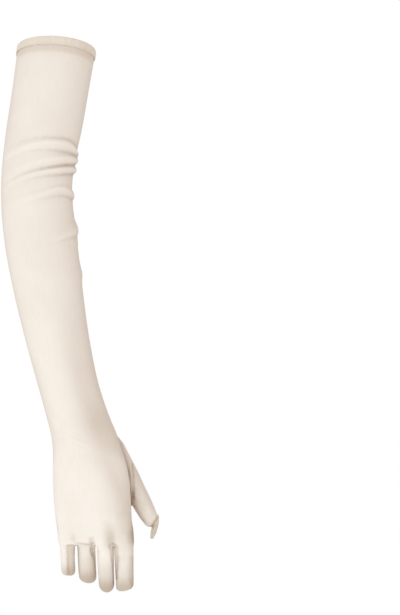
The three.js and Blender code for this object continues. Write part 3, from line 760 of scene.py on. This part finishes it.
def whole_surface():
    """The skin of the whole glove as points and triangles."""
    xs = grid_axis(*GRID_X, GRID_STEP, FINE_X)
    ys = grid_axis(*GRID_Y, GRID_STEP, FINE_Y)
    levels = [np.arange(low, high, -step)[:, None] for low, high, step in GRID_LEVELS]
    zs = np.sort(np.concatenate(levels).ravel())
    values = np.empty((len(xs), len(ys), len(zs)), np.float32)
    slab = 24
    for start in range(0, len(zs), slab):
        part = slice(start, start + slab)
        values[:, :, part] = form_distance(xs[:, None, None], ys[None, :, None], zs[None, None, part])
    points, quads = surface_net(values, (xs, ys, zs))
    for _ in range(2):
        points, _ = settle(relaxed(points, quads), False, 1)
    points, _ = settle(points, True, 2)
    diagonals = [np.linalg.norm(points[quads[:, i]] - points[quads[:, i + 2]], axis=1) for i in (0, 1)]
    first = diagonals[0] <= diagonals[1]
    one = np.where(first[:, None], quads[:, [0, 1, 2]], quads[:, [0, 1, 3]])
    two = np.where(first[:, None], quads[:, [0, 2, 3]], quads[:, [1, 2, 3]])
    return points, np.concatenate((one, two))


def finger_at(finger, z):
    """Where a finger's middle line crosses a height, in X and Y, running on straight past its ends."""
    path = finger["path"][::-1]
    x = np.interp(z, path[:, 2], path[:, 0])
    y = np.interp(z, path[:, 2], path[:, 1])
    for end, inner, past in ((0, 1, z < path[0, 2]), (-1, -2, z > path[-1, 2])):
        run = (path[end] - path[inner]) / (path[end, 2] - path[inner, 2])
        y = np.where(past, path[end, 1] + run[1] * (z - path[end, 2]), y)
    return x, y


def line_across(left, right, x, z):
    """The height in Y of the line across two fingers, which steps from one to the other between them."""
    turn = smoothstep((WEB_LEVEL[0] - z) / (WEB_LEVEL[0] - WEB_LEVEL[1]))
    reach = lerp(WEB_REACH, 1, turn)
    (left_x, left_y), (right_x, right_y) = finger_at(left, z), finger_at(right, z)
    start = left_x + left["wide"][0] * reach
    end = right_x - right["wide"][0] * reach
    return lerp(left_y, right_y, np.clip((x - start) / np.maximum(end - start, 0.2), 0, 1))


def seam_height(x, z):
    """The height in Y of the surface that the side seams and the middles of the fingers lie on."""
    level = np.minimum(z, SEAM_TURN[0])
    height = None
    for _, left, right, *_ in reversed(FOURCHETTES):
        left, right = FINGERS[left], FINGERS[right]
        line = line_across(left, right, x, level)
        height = line if height is None else np.where(x > finger_at(left, level)[0], line, height)
    share = smoothstep((SEAM_TURN[0] - z) / (SEAM_TURN[0] - SEAM_TURN[1]))
    return lerp(arm_section(z)[1], height, share)


def in_fourchette(row, points):
    """How far inside the cloth of a fourchette each point is, negative outside."""
    x, y, z = points.T
    _, left, right, left_turn, left_end, _, right_turn, right_end, _ = row
    left, right = FINGERS[left], FINGERS[right]
    left_x, right_x = finger_at(left, z)[0], finger_at(right, z)[0]
    levels, halves = zip(*FOURCHETTE_HALF[::-1])
    end_z = np.where(x - left_x < right_x - x, left["end_z"], right["end_z"])
    half = np.interp(z, levels, halves) * smoothstep((z - end_z) / TAPER)
    turned = 0
    growth = 1 + np.maximum(CURL_GROWTH[0] - z, 0) / CURL_GROWTH[1]
    sides = ((left_turn * growth, left_end, x - left_x), (right_turn, right_end, right_x - x))
    for turn, end, away in sides:
        upright = between(z, TURN_TOP, TURN_FADES[0], end, TURN_FADES[1])
        turned = turned + turn * upright * (1 - smoothstep((away - TURN_REACH[0]) / TURN_REACH[1]))
    ahead = line_across(left, right, x, z) - y
    beside = np.minimum(x - left_x, right_x - x)
    return np.minimum.reduce([half + turned - ahead, half + ahead, beside, FOURCHETTE_TOP - z])


def in_thumb(points):
    """How far on the thumb's side of its seam each point is, negative on the palm."""
    x, y, z = points.T
    return (hand_distance(x, y, z) - thumb_with_flap(x, y, z)) / THUMB_PARTING


def below_opening(points):
    """How far each point is below the plane of the arm opening."""
    x, y, z = points.T
    return OPENING_RISE[0] * x + OPENING_RISE[1] * y - z


def without_spares(points, triangles):
    """A surface without the points that no triangle has."""
    used, renumbered = np.unique(triangles, return_inverse=True)
    return points[used], renumbered.reshape(-1, 3)


def clip(points, triangles, inside):
    """The part of a surface where inside is positive, cut exactly along its zero line."""
    sides = inside[triangles] > 0
    count = sides.sum(1)
    crossed = (count == 1) | (count == 2)
    kept = [triangles[count == 3]]
    cut_edges = {}
    new_points = []

    def cut(a, b):
        key = (a, b) if a < b else (b, a)
        if key not in cut_edges:
            share = inside[key[0]] / (inside[key[0]] - inside[key[1]])
            new_points.append(lerp(points[key[0]], points[key[1]], share))
            cut_edges[key] = len(points) + len(new_points) - 1
        return cut_edges[key]

    made = []
    for triangle, side in zip(triangles[crossed], sides[crossed]):
        one_inside = side.sum() == 1
        lone = np.argmax(side) if one_inside else np.argmin(side)
        a, b, c = (int(triangle[(lone + i) % 3]) for i in range(3))
        ab, ac = cut(a, b), cut(a, c)
        made += [(a, ab, ac)] if one_inside else [(ab, b, c), (ab, c, ac)]
    if made:
        kept.append(np.array(made))
        points = np.concatenate((points, np.array(new_points)))
    return without_spares(points, np.concatenate(kept))


def evened(values, triangles, rounds):
    """Values of a surface's points, each moved towards the mean of its neighbours."""
    edges = edges_of(triangles)
    edges = np.concatenate((edges, edges[:, ::-1]))
    count = np.maximum(np.bincount(edges[:, 0], minlength=len(values)), 1)
    for _ in range(rounds):
        mean = np.bincount(edges[:, 0], values[edges[:, 1]], len(values)) / count
        values = np.where(values - mean > SPECK, mean, lerp(values, mean, 0.5))
    return values


def main_part(points, triangles):
    """The largest connected part of a surface, without crumbs."""
    label = np.arange(len(points))
    while True:
        lowest = label[triangles].min(1)
        new = label.copy()
        for corner in range(3):
            np.minimum.at(new, triangles[:, corner], lowest)
        new = new[new]
        if (new == label).all():
            break
        label = new
    part = label[triangles[:, 0]]
    return without_spares(points, triangles[part == np.bincount(part).argmax()])


def open_edges(triangles):
    """The edges that only one triangle has, in that triangle's direction."""
    edges = edges_of(triangles)
    _, index, count = np.unique(np.sort(edges, 1), axis=0, return_index=True, return_counts=True)
    return edges[index[count == 1]]


def back_painted_shade(points):
    """Painted shade on the back towards the thumb's edge, and in its hollows."""
    x, _, z = points.T
    hollow = WRINKLE_PAINTED_SHADE[0] * np.maximum(-wrinkle_lift(BACK_WRINKLES, x, z), 0)
    hollow = hollow * below(z, *KNUCKLES)
    centre_x, _, wide, _, _ = arm_section(z)
    levels, *columns = zip(*SIDE_PAINTED_SHADE[::-1])
    place, breadth, depth = (np.interp(z, levels, column) for column in columns)
    return hollow + depth * np.exp(-((((x - centre_x) / wide - place) / breadth) ** 2))


def crease_shade(points, outward):
    """Painted shade by how far into a crease each point of the surface is, from 0 to 1, with painted shade
    in the web's puckers.
    """
    shade = 0
    value, slope = slope_of(points, True)
    steepness = np.linalg.norm(slope, axis=1)
    for reach, share in CREASE_REACH:
        off = form_at(points + outward * reach, True) - value
        shade = shade + share * np.clip(1 - off / (steepness * reach), 0, 1)
    z = points[:, 2]
    left_over, *start = BETWEEN_FINGERS
    shade = shade * lerp(1, left_over, below(z, *start))
    shade = shade * lerp(1, GUSSET_SHADE, between(z, *GUSSET))
    for place, spread_by, depth in WEB_SHADE:
        gap = np.linalg.norm(points - place, axis=1) / spread_by
        shade = shade + depth * np.exp(-(gap**2))
    return np.clip(shade, 0, 1)


def tip_shade(points):
    """How much darker the cloth is towards the end of each finger."""
    x, _, z = points.T
    shade = 0
    for finger in FINGERS.values():
        tip = finger["path"][-1]
        here = np.abs(x - tip[0]) < finger["wide"][1] + TIP_BESIDE
        for (start, length), depth in zip(TIP_LENGTHS, (TIP_SHADE, finger["end_tone"])):
            shade = shade + depth * here * below(z, tip[2] + start, length)
    return shade * (z < TIPS_TOP)


def thickened(points, outward, triangles, thickness):
    """A skin given its thickness towards the inside, with its open edges closed."""
    inner = points - outward * thickness
    edges = open_edges(triangles)
    count = len(points)
    rim = np.stack((edges[:, 1], edges[:, 0], edges[:, 0] + count, edges[:, 1] + count), 1)
    rim = np.concatenate((rim[:, [0, 1, 2]], rim[:, [0, 2, 3]]))
    return np.concatenate((points, inner)), np.concatenate((triangles, triangles[:, ::-1] + count, rim))


def weave_uv(points):
    """Lengths round and along the glove in metres, for the weave to follow."""
    x, y, z = points.T
    centre_x, centre_y, wide, deep, _ = arm_section(z)
    angle = np.arctan2((x - centre_x) / wide, -(y - centre_y) / deep)
    around = angle * (wide + deep) / 2
    across = lerp(around, x, below(z, *HAND_WEAVE))
    return np.stack((across, z), 1) * MM


def placed(name, data, place=(0, 0, 0), turn=(0, 0, 0)):
    """An object in the scene."""
    made = bpy.data.objects.new(name, data)
    made.location = place
    made.rotation_euler = turn
    bpy.context.scene.collection.objects.link(made)
    return made


def make_object(name, points, faces, material, uv=None, shade=None):
    """An object from points in millimetres, with smooth faces that stay sharp at the rims."""
    mesh = bpy.data.meshes.new(name)
    mesh.from_pydata((np.asarray(points) * MM).tolist(), [], [list(map(int, face)) for face in faces])
    mesh.update()
    if uv is not None:
        corners = np.empty(len(mesh.loops), np.int32)
        mesh.loops.foreach_get("vertex_index", corners)
        layer = mesh.uv_layers.new(name="weave")
        layer.data.foreach_set("uv", uv[corners].astype(np.float32).ravel())
    if shade is not None:
        layer = mesh.attributes.new("shade", "FLOAT", "POINT")
        layer.data.foreach_set("value", shade.astype(np.float32))
    mesh.polygons.foreach_set("use_smooth", [True] * len(mesh.polygons))
    mesh.set_sharp_from_angle(angle=math.radians(SHARP_ANGLE))
    mesh.materials.append(material)
    return placed(name, mesh)


def node(tree, kind, inputs=None, **settings):
    """A shader node with its settings, and its inputs set or linked by name."""
    made = tree.nodes.new(kind)
    for key, value in settings.items():
        setattr(made, key, value)
    for key, value in (inputs or {}).items():
        if isinstance(value, bpy.types.NodeSocket):
            tree.links.new(value, made.inputs[key])
        else:
            made.inputs[key].default_value = value
    return made


def colour(red, green, blue):
    """An sRGB colour of 0 to 255 as Blender's linear colour."""
    parts = [part / 255 for part in (red, green, blue)]
    return tuple(p / 12.92 if p <= 0.04045 else ((p + 0.055) / 1.055) ** 2.4 for p in parts) + (1,)


def mixed(tree, factor, first, second, blend="MIX"):
    """The colour between two others, by a factor."""
    inputs = {"Factor": factor, 6: first, 7: second}
    return node(tree, "ShaderNodeMix", inputs, data_type="RGBA", blend_type=blend).outputs[2]


def spread(tree, value, low, high, to_low=0.0, to_high=1.0):
    """A value's place between two others, clamped."""
    limits = {"Value": value, "From Min": low, "From Max": high, "To Min": to_low, "To Max": to_high}
    return node(tree, "ShaderNodeMapRange", limits).outputs["Result"]


def new_material(name, settings):
    """A material with settings on its shader's own sockets, its node tree, and the shader."""
    material = bpy.data.materials.new(name)
    material.use_nodes = True
    shader = material.node_tree.nodes["Principled BSDF"]
    for socket, value in settings.items():
        shader.inputs[socket].default_value = value
    return material, material.node_tree, shader


def dented(tree, shader, height, strength, distance, **settings):
    """Gives a shader small dents."""
    inputs = {"Height": height, "Strength": strength, "Distance": distance}
    dent = node(tree, "ShaderNodeBump", inputs, **settings)
    tree.links.new(dent.outputs["Normal"], shader.inputs["Normal"])


def mesh_cloth(name, light, dark):
    """Fine knitted net: small cells that dent the surface, an uneven tone, and the points' shade, which is
    painted shade in creases and hollows with the seams' dark lines.
    """
    settings = {"Roughness": 0.8, "Sheen Weight": 0.1, "Sheen Roughness": 0.5, "Specular IOR Level": 0.3}
    material, tree, shader = new_material(name, settings)
    place = node(tree, "ShaderNodeTexCoord").outputs
    weave = node(tree, "ShaderNodeMapping", {"Vector": place["UV"], "Scale": WEAVE}).outputs["Vector"]
    inputs = {"Vector": weave, "Scale": 1.0, "Randomness": 0.25}
    cells = node(tree, "ShaderNodeTexVoronoi", inputs, feature="DISTANCE_TO_EDGE")
    holes = spread(tree, cells.outputs["Distance"], 0.05, 0.4)
    streaks = node(tree, "ShaderNodeMapping", {"Vector": place["UV"], "Scale": STREAKS}).outputs["Vector"]
    inputs = {"Vector": streaks, "Scale": 1.0, "Detail": 3.0, "Roughness": 0.6}
    uneven = node(tree, "ShaderNodeTexNoise", inputs).outputs["Fac"]
    inputs = {"Vector": place["Object"], "Scale": 28.0, "Detail": 2.0}
    clouds = node(tree, "ShaderNodeTexNoise", inputs).outputs["Fac"]
    tone = node(tree, "ShaderNodeMath", {0: uneven, 1: clouds}, operation="ADD").outputs["Value"]
    deep = colour(*HOLE_AND_SHADE_COLOUR)
    result = mixed(tree, spread(tree, tone, 0.6, 1.4), colour(*dark), colour(*light))
    result = mixed(tree, spread(tree, holes, 0, 1, 0, 0.2), result, deep)
    painted_shade_and_seams = node(tree, "ShaderNodeAttribute", attribute_name="shade").outputs["Fac"]
    result = mixed(tree, painted_shade_and_seams, result, deep)
    if name == "mesh_fabric":
        inputs = {0: place["Object"], 1: (*OPENING_RISE, -1.0)}
        depth = node(tree, "ShaderNodeVectorMath", inputs, operation="DOT_PRODUCT").outputs["Value"]
        double = spread(tree, depth, (HEM_TURN_IN + 1) * MM, (HEM_TURN_IN - 1.5) * MM)
        result = mixed(tree, 1.0, result, mixed(tree, double, (1, 1, 1, 1), UNDER_HEM), "MULTIPLY")
    tree.links.new(result, shader.inputs["Base Color"])
    dented(tree, shader, holes, 0.25, 0.0002, invert=True)
    return material


def sewing_thread():
    """Twisted thread."""
    material, tree, shader = new_material("sewing_thread", {"Roughness": 0.6, "Sheen Weight": 0.2})
    place = node(tree, "ShaderNodeTexCoord").outputs["Object"]
    inputs = {"Vector": place, "Scale": 1400.0, "Distortion": 1.0}
    twist = node(tree, "ShaderNodeTexWave", inputs, bands_direction="DIAGONAL").outputs["Fac"]
    result = mixed(tree, twist, colour(*THREAD), colour(*(part * 0.86 for part in THREAD)))
    tree.links.new(result, shader.inputs["Base Color"])
    dented(tree, shader, twist, 0.3, 0.0001)
    return material


CLOTHS = {name: mesh_cloth(name, *colours) for name, colours in CLOTH_COLOURS.items()}


def sewn_piece(name, skin, inside, cloth, tone, allowance_and_edge_shade):
    """Cuts a piece out of the skin, draws its edges in at the seams and gives it the cloth's thickness."""
    points, triangles = skin
    points, triangles = clip(points, triangles, inside(points) - SEAM_GAP / 2)
    points, triangles = main_part(points, triangles)
    points, outward = settle(points, True, 1)
    # The points' shade: painted shade in creases and folds with painted highlights on the crests, the
    # darker finger ends, and the piece's own painted shade
    shade = crease_shade(points, outward) + fold_shade(points) + tip_shade(points)
    shade = shade + tone(points) + BASE_SHADE
    depth = inside(points)
    start, growing = SEAMS_START
    below_hem = smoothstep((below_opening(points) - start) / growing)
    at_seam = (1 - smoothstep(depth / SEAM_REACH)) * below_hem
    x, _, z = points.T
    # Painted shade on the right side of the index finger, which turns from the light
    start, growing = INDEX_OVER
    on_right = smoothstep(outward[:, 0] * 1.5)
    over = below(z, *INDEX_SIDE) * on_right * smoothstep((x - start) / growing)
    reach = lerp(*allowance_and_edge_shade, below(z, *WRIST)) + INDEX_EDGE_PAINTED_SHADE[0] * over
    beside = (1 - smoothstep(depth / reach)) * below_hem
    faint = below(z, *FAINT_SEAMS) * smoothstep(-outward[:, 0] * 2) * (x < FAINT_UP_TO)
    at_web = between(z, *WEB_SEAMS) * (x > WEB_FAINT[1])
    faint = np.maximum(faint, WEB_FAINT[0] * at_web)
    seam_and_edge_shade = SEAM_SHADE * at_seam + (ALLOWANCE_AND_EDGE_SHADE_DEPTH + INDEX_EDGE_PAINTED_SHADE[1] * over) * beside
    shade = evened(np.clip(shade + seam_and_edge_shade * (1 - faint), 0, 1), triangles, 3)
    share, length = SEAM_PUCKER
    ripple = 1 + share * np.sin(points.sum(1) * 2 * math.pi / length)
    points = points - outward * (SEAM_SINK * at_seam * ripple)[:, None]
    solid, faces = thickened(points, outward, triangles, CLOTH)
    shades = np.concatenate((shade, lerp(shade, 1, INSIDE_SHADE)))
    return make_object(name, solid, faces, CLOTHS[cloth], weave_uv(solid), shades)


def in_panel(side, points):
    """How far inside the back panel, where side is 1, or the palm panel, where it is -1, each point is."""
    x, y, z = points.T
    edges = [side * (seam_height(x, z) - y), below_opening(points) - PANEL_TOP, -in_thumb(points)]
    edges += [-in_fourchette(row, points) for row in FOURCHETTES]
    return np.minimum.reduce(edges)


def thumb_painted_shade(points):
    """Painted shade on the thumb: down its length, in its hollows and along its lower edge."""
    x, y, z = points.T
    levels, depths = zip(*THUMB_SHADE[::-1])
    hollow = np.maximum(-wrinkle_lift(THUMB_WRINKLES, x, z), 0) * thumb_front(y, z)
    start, growth, depth = THUMB_EDGE
    across = (thumb_at("x", z) - x) / thumb_at("wide", z)
    edge = depth * smoothstep((across - start) / growth) * below(z, *THUMB_EDGE_TOP)
    return np.interp(z, levels, depths) + WRINKLE_PAINTED_SHADE[1] * hollow + edge


def strip_painted_shade(row, points):
    """Painted shade on the cloth of a fourchette on each of its two fingers, painted light where it is
    below nought.
    """
    x, _, z = points.T
    _, left, right, _, _, left_tone, _, _, right_tone = row
    middle = (finger_at(FINGERS[left], z)[0] + finger_at(FINGERS[right], z)[0]) / 2
    return lerp(left_tone, right_tone, smoothstep((x - middle) / STRIP_TURN + 0.5))


def opening_point(angle, down, out):
    """A point of the sleeve's surface, moved out, that lies down below the plane of the arm opening."""
    z = -down + 0 * angle
    for _ in range(5):
        centre_x, centre_y, wide, deep, power = arm_section(z)
        x = centre_x + (wide + out) * np.sign(np.cos(angle)) * np.abs(np.cos(angle)) ** (2 / power)
        y = centre_y + (deep + out) * np.sign(np.sin(angle)) * np.abs(np.sin(angle)) ** (2 / power)
        z = OPENING_RISE[0] * x + OPENING_RISE[1] * y - down
    return np.stack((x, y, z), -1)


def hem_pucker(angle):
    return sum(height * np.sin(count * angle + start) for height, count, start in HEM_PUCKER)


def ring_quads(rings, sides, closed=False):
    """The quads between rings of points, and where it is closed from the last ring to the first."""
    quads = []
    for ring in range(rings if closed else rings - 1):
        after = (ring + 1) % rings * sides
        for side in range(sides):
            ahead = (side + 1) % sides
            quads.append((ring * sides + side, ring * sides + ahead, after + ahead, after + side))
    return quads


def folded_hem():
    """The folded band round the arm opening, slightly puckered by its stitching."""
    section = smooth_path(HEM_SECTION + HEM_SECTION[:1], 2)[:-1]
    angle = np.arange(HEM_SIDES) * 2 * math.pi / HEM_SIDES
    pucker = hem_pucker(angle)
    rings = []
    for out, down in section:
        fullness = smoothstep((out + 0.4) / 1.4) * smoothstep(down / 3)
        rings.append(opening_point(angle, down + 0.3 * pucker, out + pucker * fullness))
    faces = [(a, d, c, b) for a, b, c, d in ring_quads(len(rings), HEM_SIDES, True)]
    around = np.tile(angle * OPENING_RADIUS, len(rings))
    uv = np.stack((around, np.repeat(lengths_along(section), HEM_SIDES)), 1) * MM
    return make_object("folded_hem", np.concatenate(rings), faces, CLOTHS["hem_fabric"], uv)


def stitch_row():
    """A row of short stitches round the hem."""
    points = []
    faces = []
    quads = ring_quads(len(STITCH_SECTION), STITCH_SIDES)
    for stitch in range(STITCH_COUNT):
        angle = 2 * math.pi * stitch / STITCH_COUNT
        nudge = 0.01
        here, ahead, below_it = (
            opening_point(np.array([turn]), STITCH_DOWN + down, STITCH_OUT + hem_pucker(turn))[0]
            for turn, down in ((angle, 0), (angle + nudge, 0), (angle, 1))
        )
        along = (ahead - here) / np.linalg.norm(ahead - here)
        falling = (below_it - here) / np.linalg.norm(below_it - here)
        outward = np.cross(falling, along)
        faces += [[corner + len(points) for corner in quad] for quad in quads]
        for place, swell in STITCH_SECTION:
            for side in range(STITCH_SIDES):
                turn = 2 * math.pi * side / STITCH_SIDES
                ring = STITCH_RADIUS * swell * (math.cos(turn) * outward + math.sin(turn) * falling)
                points.append(here + along * (place * STITCH_LENGTH) + ring)
    return make_object("hem_stitches", points, faces, sewing_thread())


def place_on_root(piece, slot, *nodes):
    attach(piece, "root")
    if nodes:
        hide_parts(*nodes)


def build_glove():
    pieces = []
    for side, end, tone in ((1, "back", back_painted_shade), (-1, "palm", lambda points: 0)):
        nodes = [f"{part}_{end}" for part in ("upper_sleeve", "forearm", "hand")]
        pieces.append((f"{end}_of_glove", "mesh_fabric", nodes, partial(in_panel, side), tone, ALLOWANCE_AND_EDGE_SHADE))
    pieces.append(("thumb_of_glove", "mesh_fabric", ["thumb"], in_thumb, thumb_painted_shade, THUMB_ALLOWANCE))
    for row in FOURCHETTES:
        tests = (partial(in_fourchette, row), partial(strip_painted_shade, row))
        pieces.append((row[0] + "_strip", "fourchette_fabric", [row[0]], *tests, STRIP_ALLOWANCE))
    skin = whole_surface()
    for name, cloth, nodes, inside, tone, allowance_and_edge_shade in pieces:
        place_on_root(sewn_piece(name, skin, inside, cloth, tone, allowance_and_edge_shade), cloth, *nodes)
    place_on_root(folded_hem(), "hem_fabric", "hem")
    place_on_root(stitch_row(), "hem_fabric")


def area_light(name, place, target, size, power):
    """A soft light that is turned to what it is aimed at, with its top up."""
    data = bpy.data.lights.new(name, "AREA")
    data.shape = "RECTANGLE"
    data.size, data.size_y = size
    data.energy = power
    data.color = LIGHT_TINT
    x, y, z = np.array(target) - np.array(place)
    placed(name, data, place, (math.atan2(math.hypot(x, y), -z), 0, math.atan2(-x, y)))


def studio():
    """A pale floor, soft light from the front left, and a bright even surround."""
    world = bpy.data.worlds.new("studio")
    world.use_nodes = True
    background = world.node_tree.nodes["Background"]
    background.inputs["Color"].default_value = (1, 1, 1, 1)
    background.inputs["Strength"].default_value = 1.0
    bpy.context.scene.world = world

    reach, level = FLOOR
    corners = [(x * reach, y * reach, level) for x, y in ((-1, -1), (1, -1), (1, 1), (-1, 1))]
    floor_mesh = bpy.data.meshes.new("floor")
    floor_mesh.from_pydata(corners, [], [(0, 1, 2, 3)])
    paper = new_material("floor_paper", {"Base Color": (1, 1, 1, 1), "Roughness": 0.95})[0]
    floor_mesh.materials.append(paper)
    placed("floor", floor_mesh)
    for light in LIGHTS:
        area_light(*light)


def camera():
    """The photograph's view: level, straight on, from three metres."""
    data = bpy.data.cameras.new("camera")
    data.sensor_fit = "VERTICAL"
    data.sensor_height = 36
    data.sensor_width = 36
    data.lens = 36 * -CAMERA_PLACE[1] / PICTURE_HEIGHT
    data.clip_end = 100
    bpy.context.scene.camera = placed("camera", data, CAMERA_PLACE, (math.pi / 2, 0, 0))


camera()
studio()
build_glove()
bpy.context.scene.view_settings.view_transform = "Standard"
